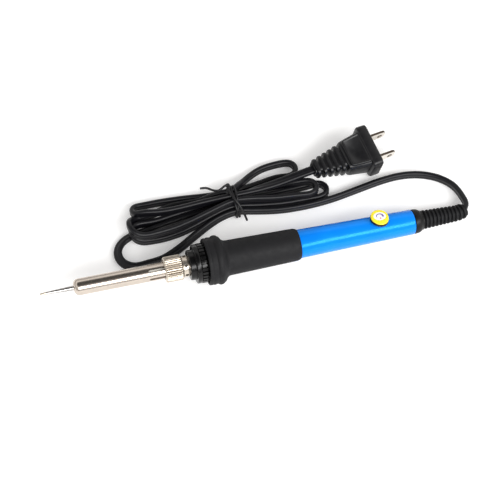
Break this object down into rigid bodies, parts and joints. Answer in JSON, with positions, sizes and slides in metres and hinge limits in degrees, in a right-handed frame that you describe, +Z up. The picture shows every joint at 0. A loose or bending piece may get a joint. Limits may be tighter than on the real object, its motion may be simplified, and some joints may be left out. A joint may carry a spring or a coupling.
{
  "type": "soldering iron",
  "caption": "Hand soldering iron with a temperature knob, a rubber grip, a flat mains cord tied in a hank and a two-blade plug.",
  "frame": {"origin": "on the table under the middle of the iron's length and width, cord left out", "axes": "+X runs along the iron from its tip to its rear end, +Z is up; the tip end is raised, because the iron lies on its grip's bulge and its tube's rear rim"},
  "size_m": [0.2341, 0.0765, 0.026],
  "materials": {
    "tip": "tinned copper point, bright and slightly mottled",
    "barrel": "polished plated steel tube",
    "nut": "nickel plate with a warm cast",
    "ceramic": "matt white alumina",
    "base": "black moulded plastic, satin",
    "glass_sleeve": "woven glass sleeving",
    "grip": "matt black rubber with a fine grain",
    "tube": "glossy bright blue plastic",
    "board": "green solder mask",
    "component": "black epoxy",
    "capacitor": "dipped film capacitor, brick red",
    "resistor": "tan lacquer",
    "diac": "orange glass bead",
    "live": "brown insulation",
    "neutral": "blue insulation",
    "knob": "bright yellow moulded plastic",
    "label": "white printed dial label",
    "cord": "black flexible PVC sheath, satin",
    "tie": "black plastic-coated wire",
    "plug": "black moulded PVC, satin",
    "blade": "nickel-plated strip"
  },
  "bodies": {
    "root": {"heater_collar": "nut", "heater_core": "ceramic", "heater_base": "base", "heater_lead_a": "glass_sleeve", "heater_lead_b": "glass_sleeve", "grip_sleeve": "grip", "handle_tube": "tube", "end_cap": "base", "strain_relief": "grip", "circuit_board": "board", "potentiometer_body": "component", "triac": "component", "capacitor": "capacitor", "resistor_1": "resistor", "resistor_2": "resistor", "diac": "diac", "live_wire": "live", "neutral_wire": "neutral", "cord_clip": "base", "cord_inside": "cord", "cord_lead": "cord", "cord_hank": "cord", "cord_tail": "cord", "twist_tie": "tie", "plug_body": "plug", "plug_blade_left": "blade", "plug_blade_right": "blade"},
    "tip": {"tip": "tip"},
    "barrel": {"barrel": "barrel"},
    "nut": {"retaining_nut": "nut"},
    "knob": {"temperature_knob": "knob", "knob_skirt": "base", "dial_label": "label", "potentiometer_shaft": "component"}
  },
  "joints": [
    {"name": "tip_slide", "type": "slide", "parent": "root", "child": "tip", "axis": [-0.9983, 0, 0.0586], "range_m": [0, 0.03]},
    {"name": "barrel_slide", "type": "slide", "parent": "tip", "child": "barrel", "axis": [-0.9983, 0, 0.0586], "range_m": [0, 0.075]},
    {"name": "nut_turn", "type": "hinge", "parent": "barrel", "child": "nut", "pos_m": [-0.04747, 0, 0.01441], "axis": [-0.9983, 0, 0.0586], "range_deg": [0, 1620]},
    {"name": "knob_turn", "type": "hinge", "parent": "root", "child": "knob", "pos_m": [0.0649, 0.00084, 0.01579], "axis": [0.0582, 0.1045, 0.9928], "range_deg": [-135, 135]}
  ]
}
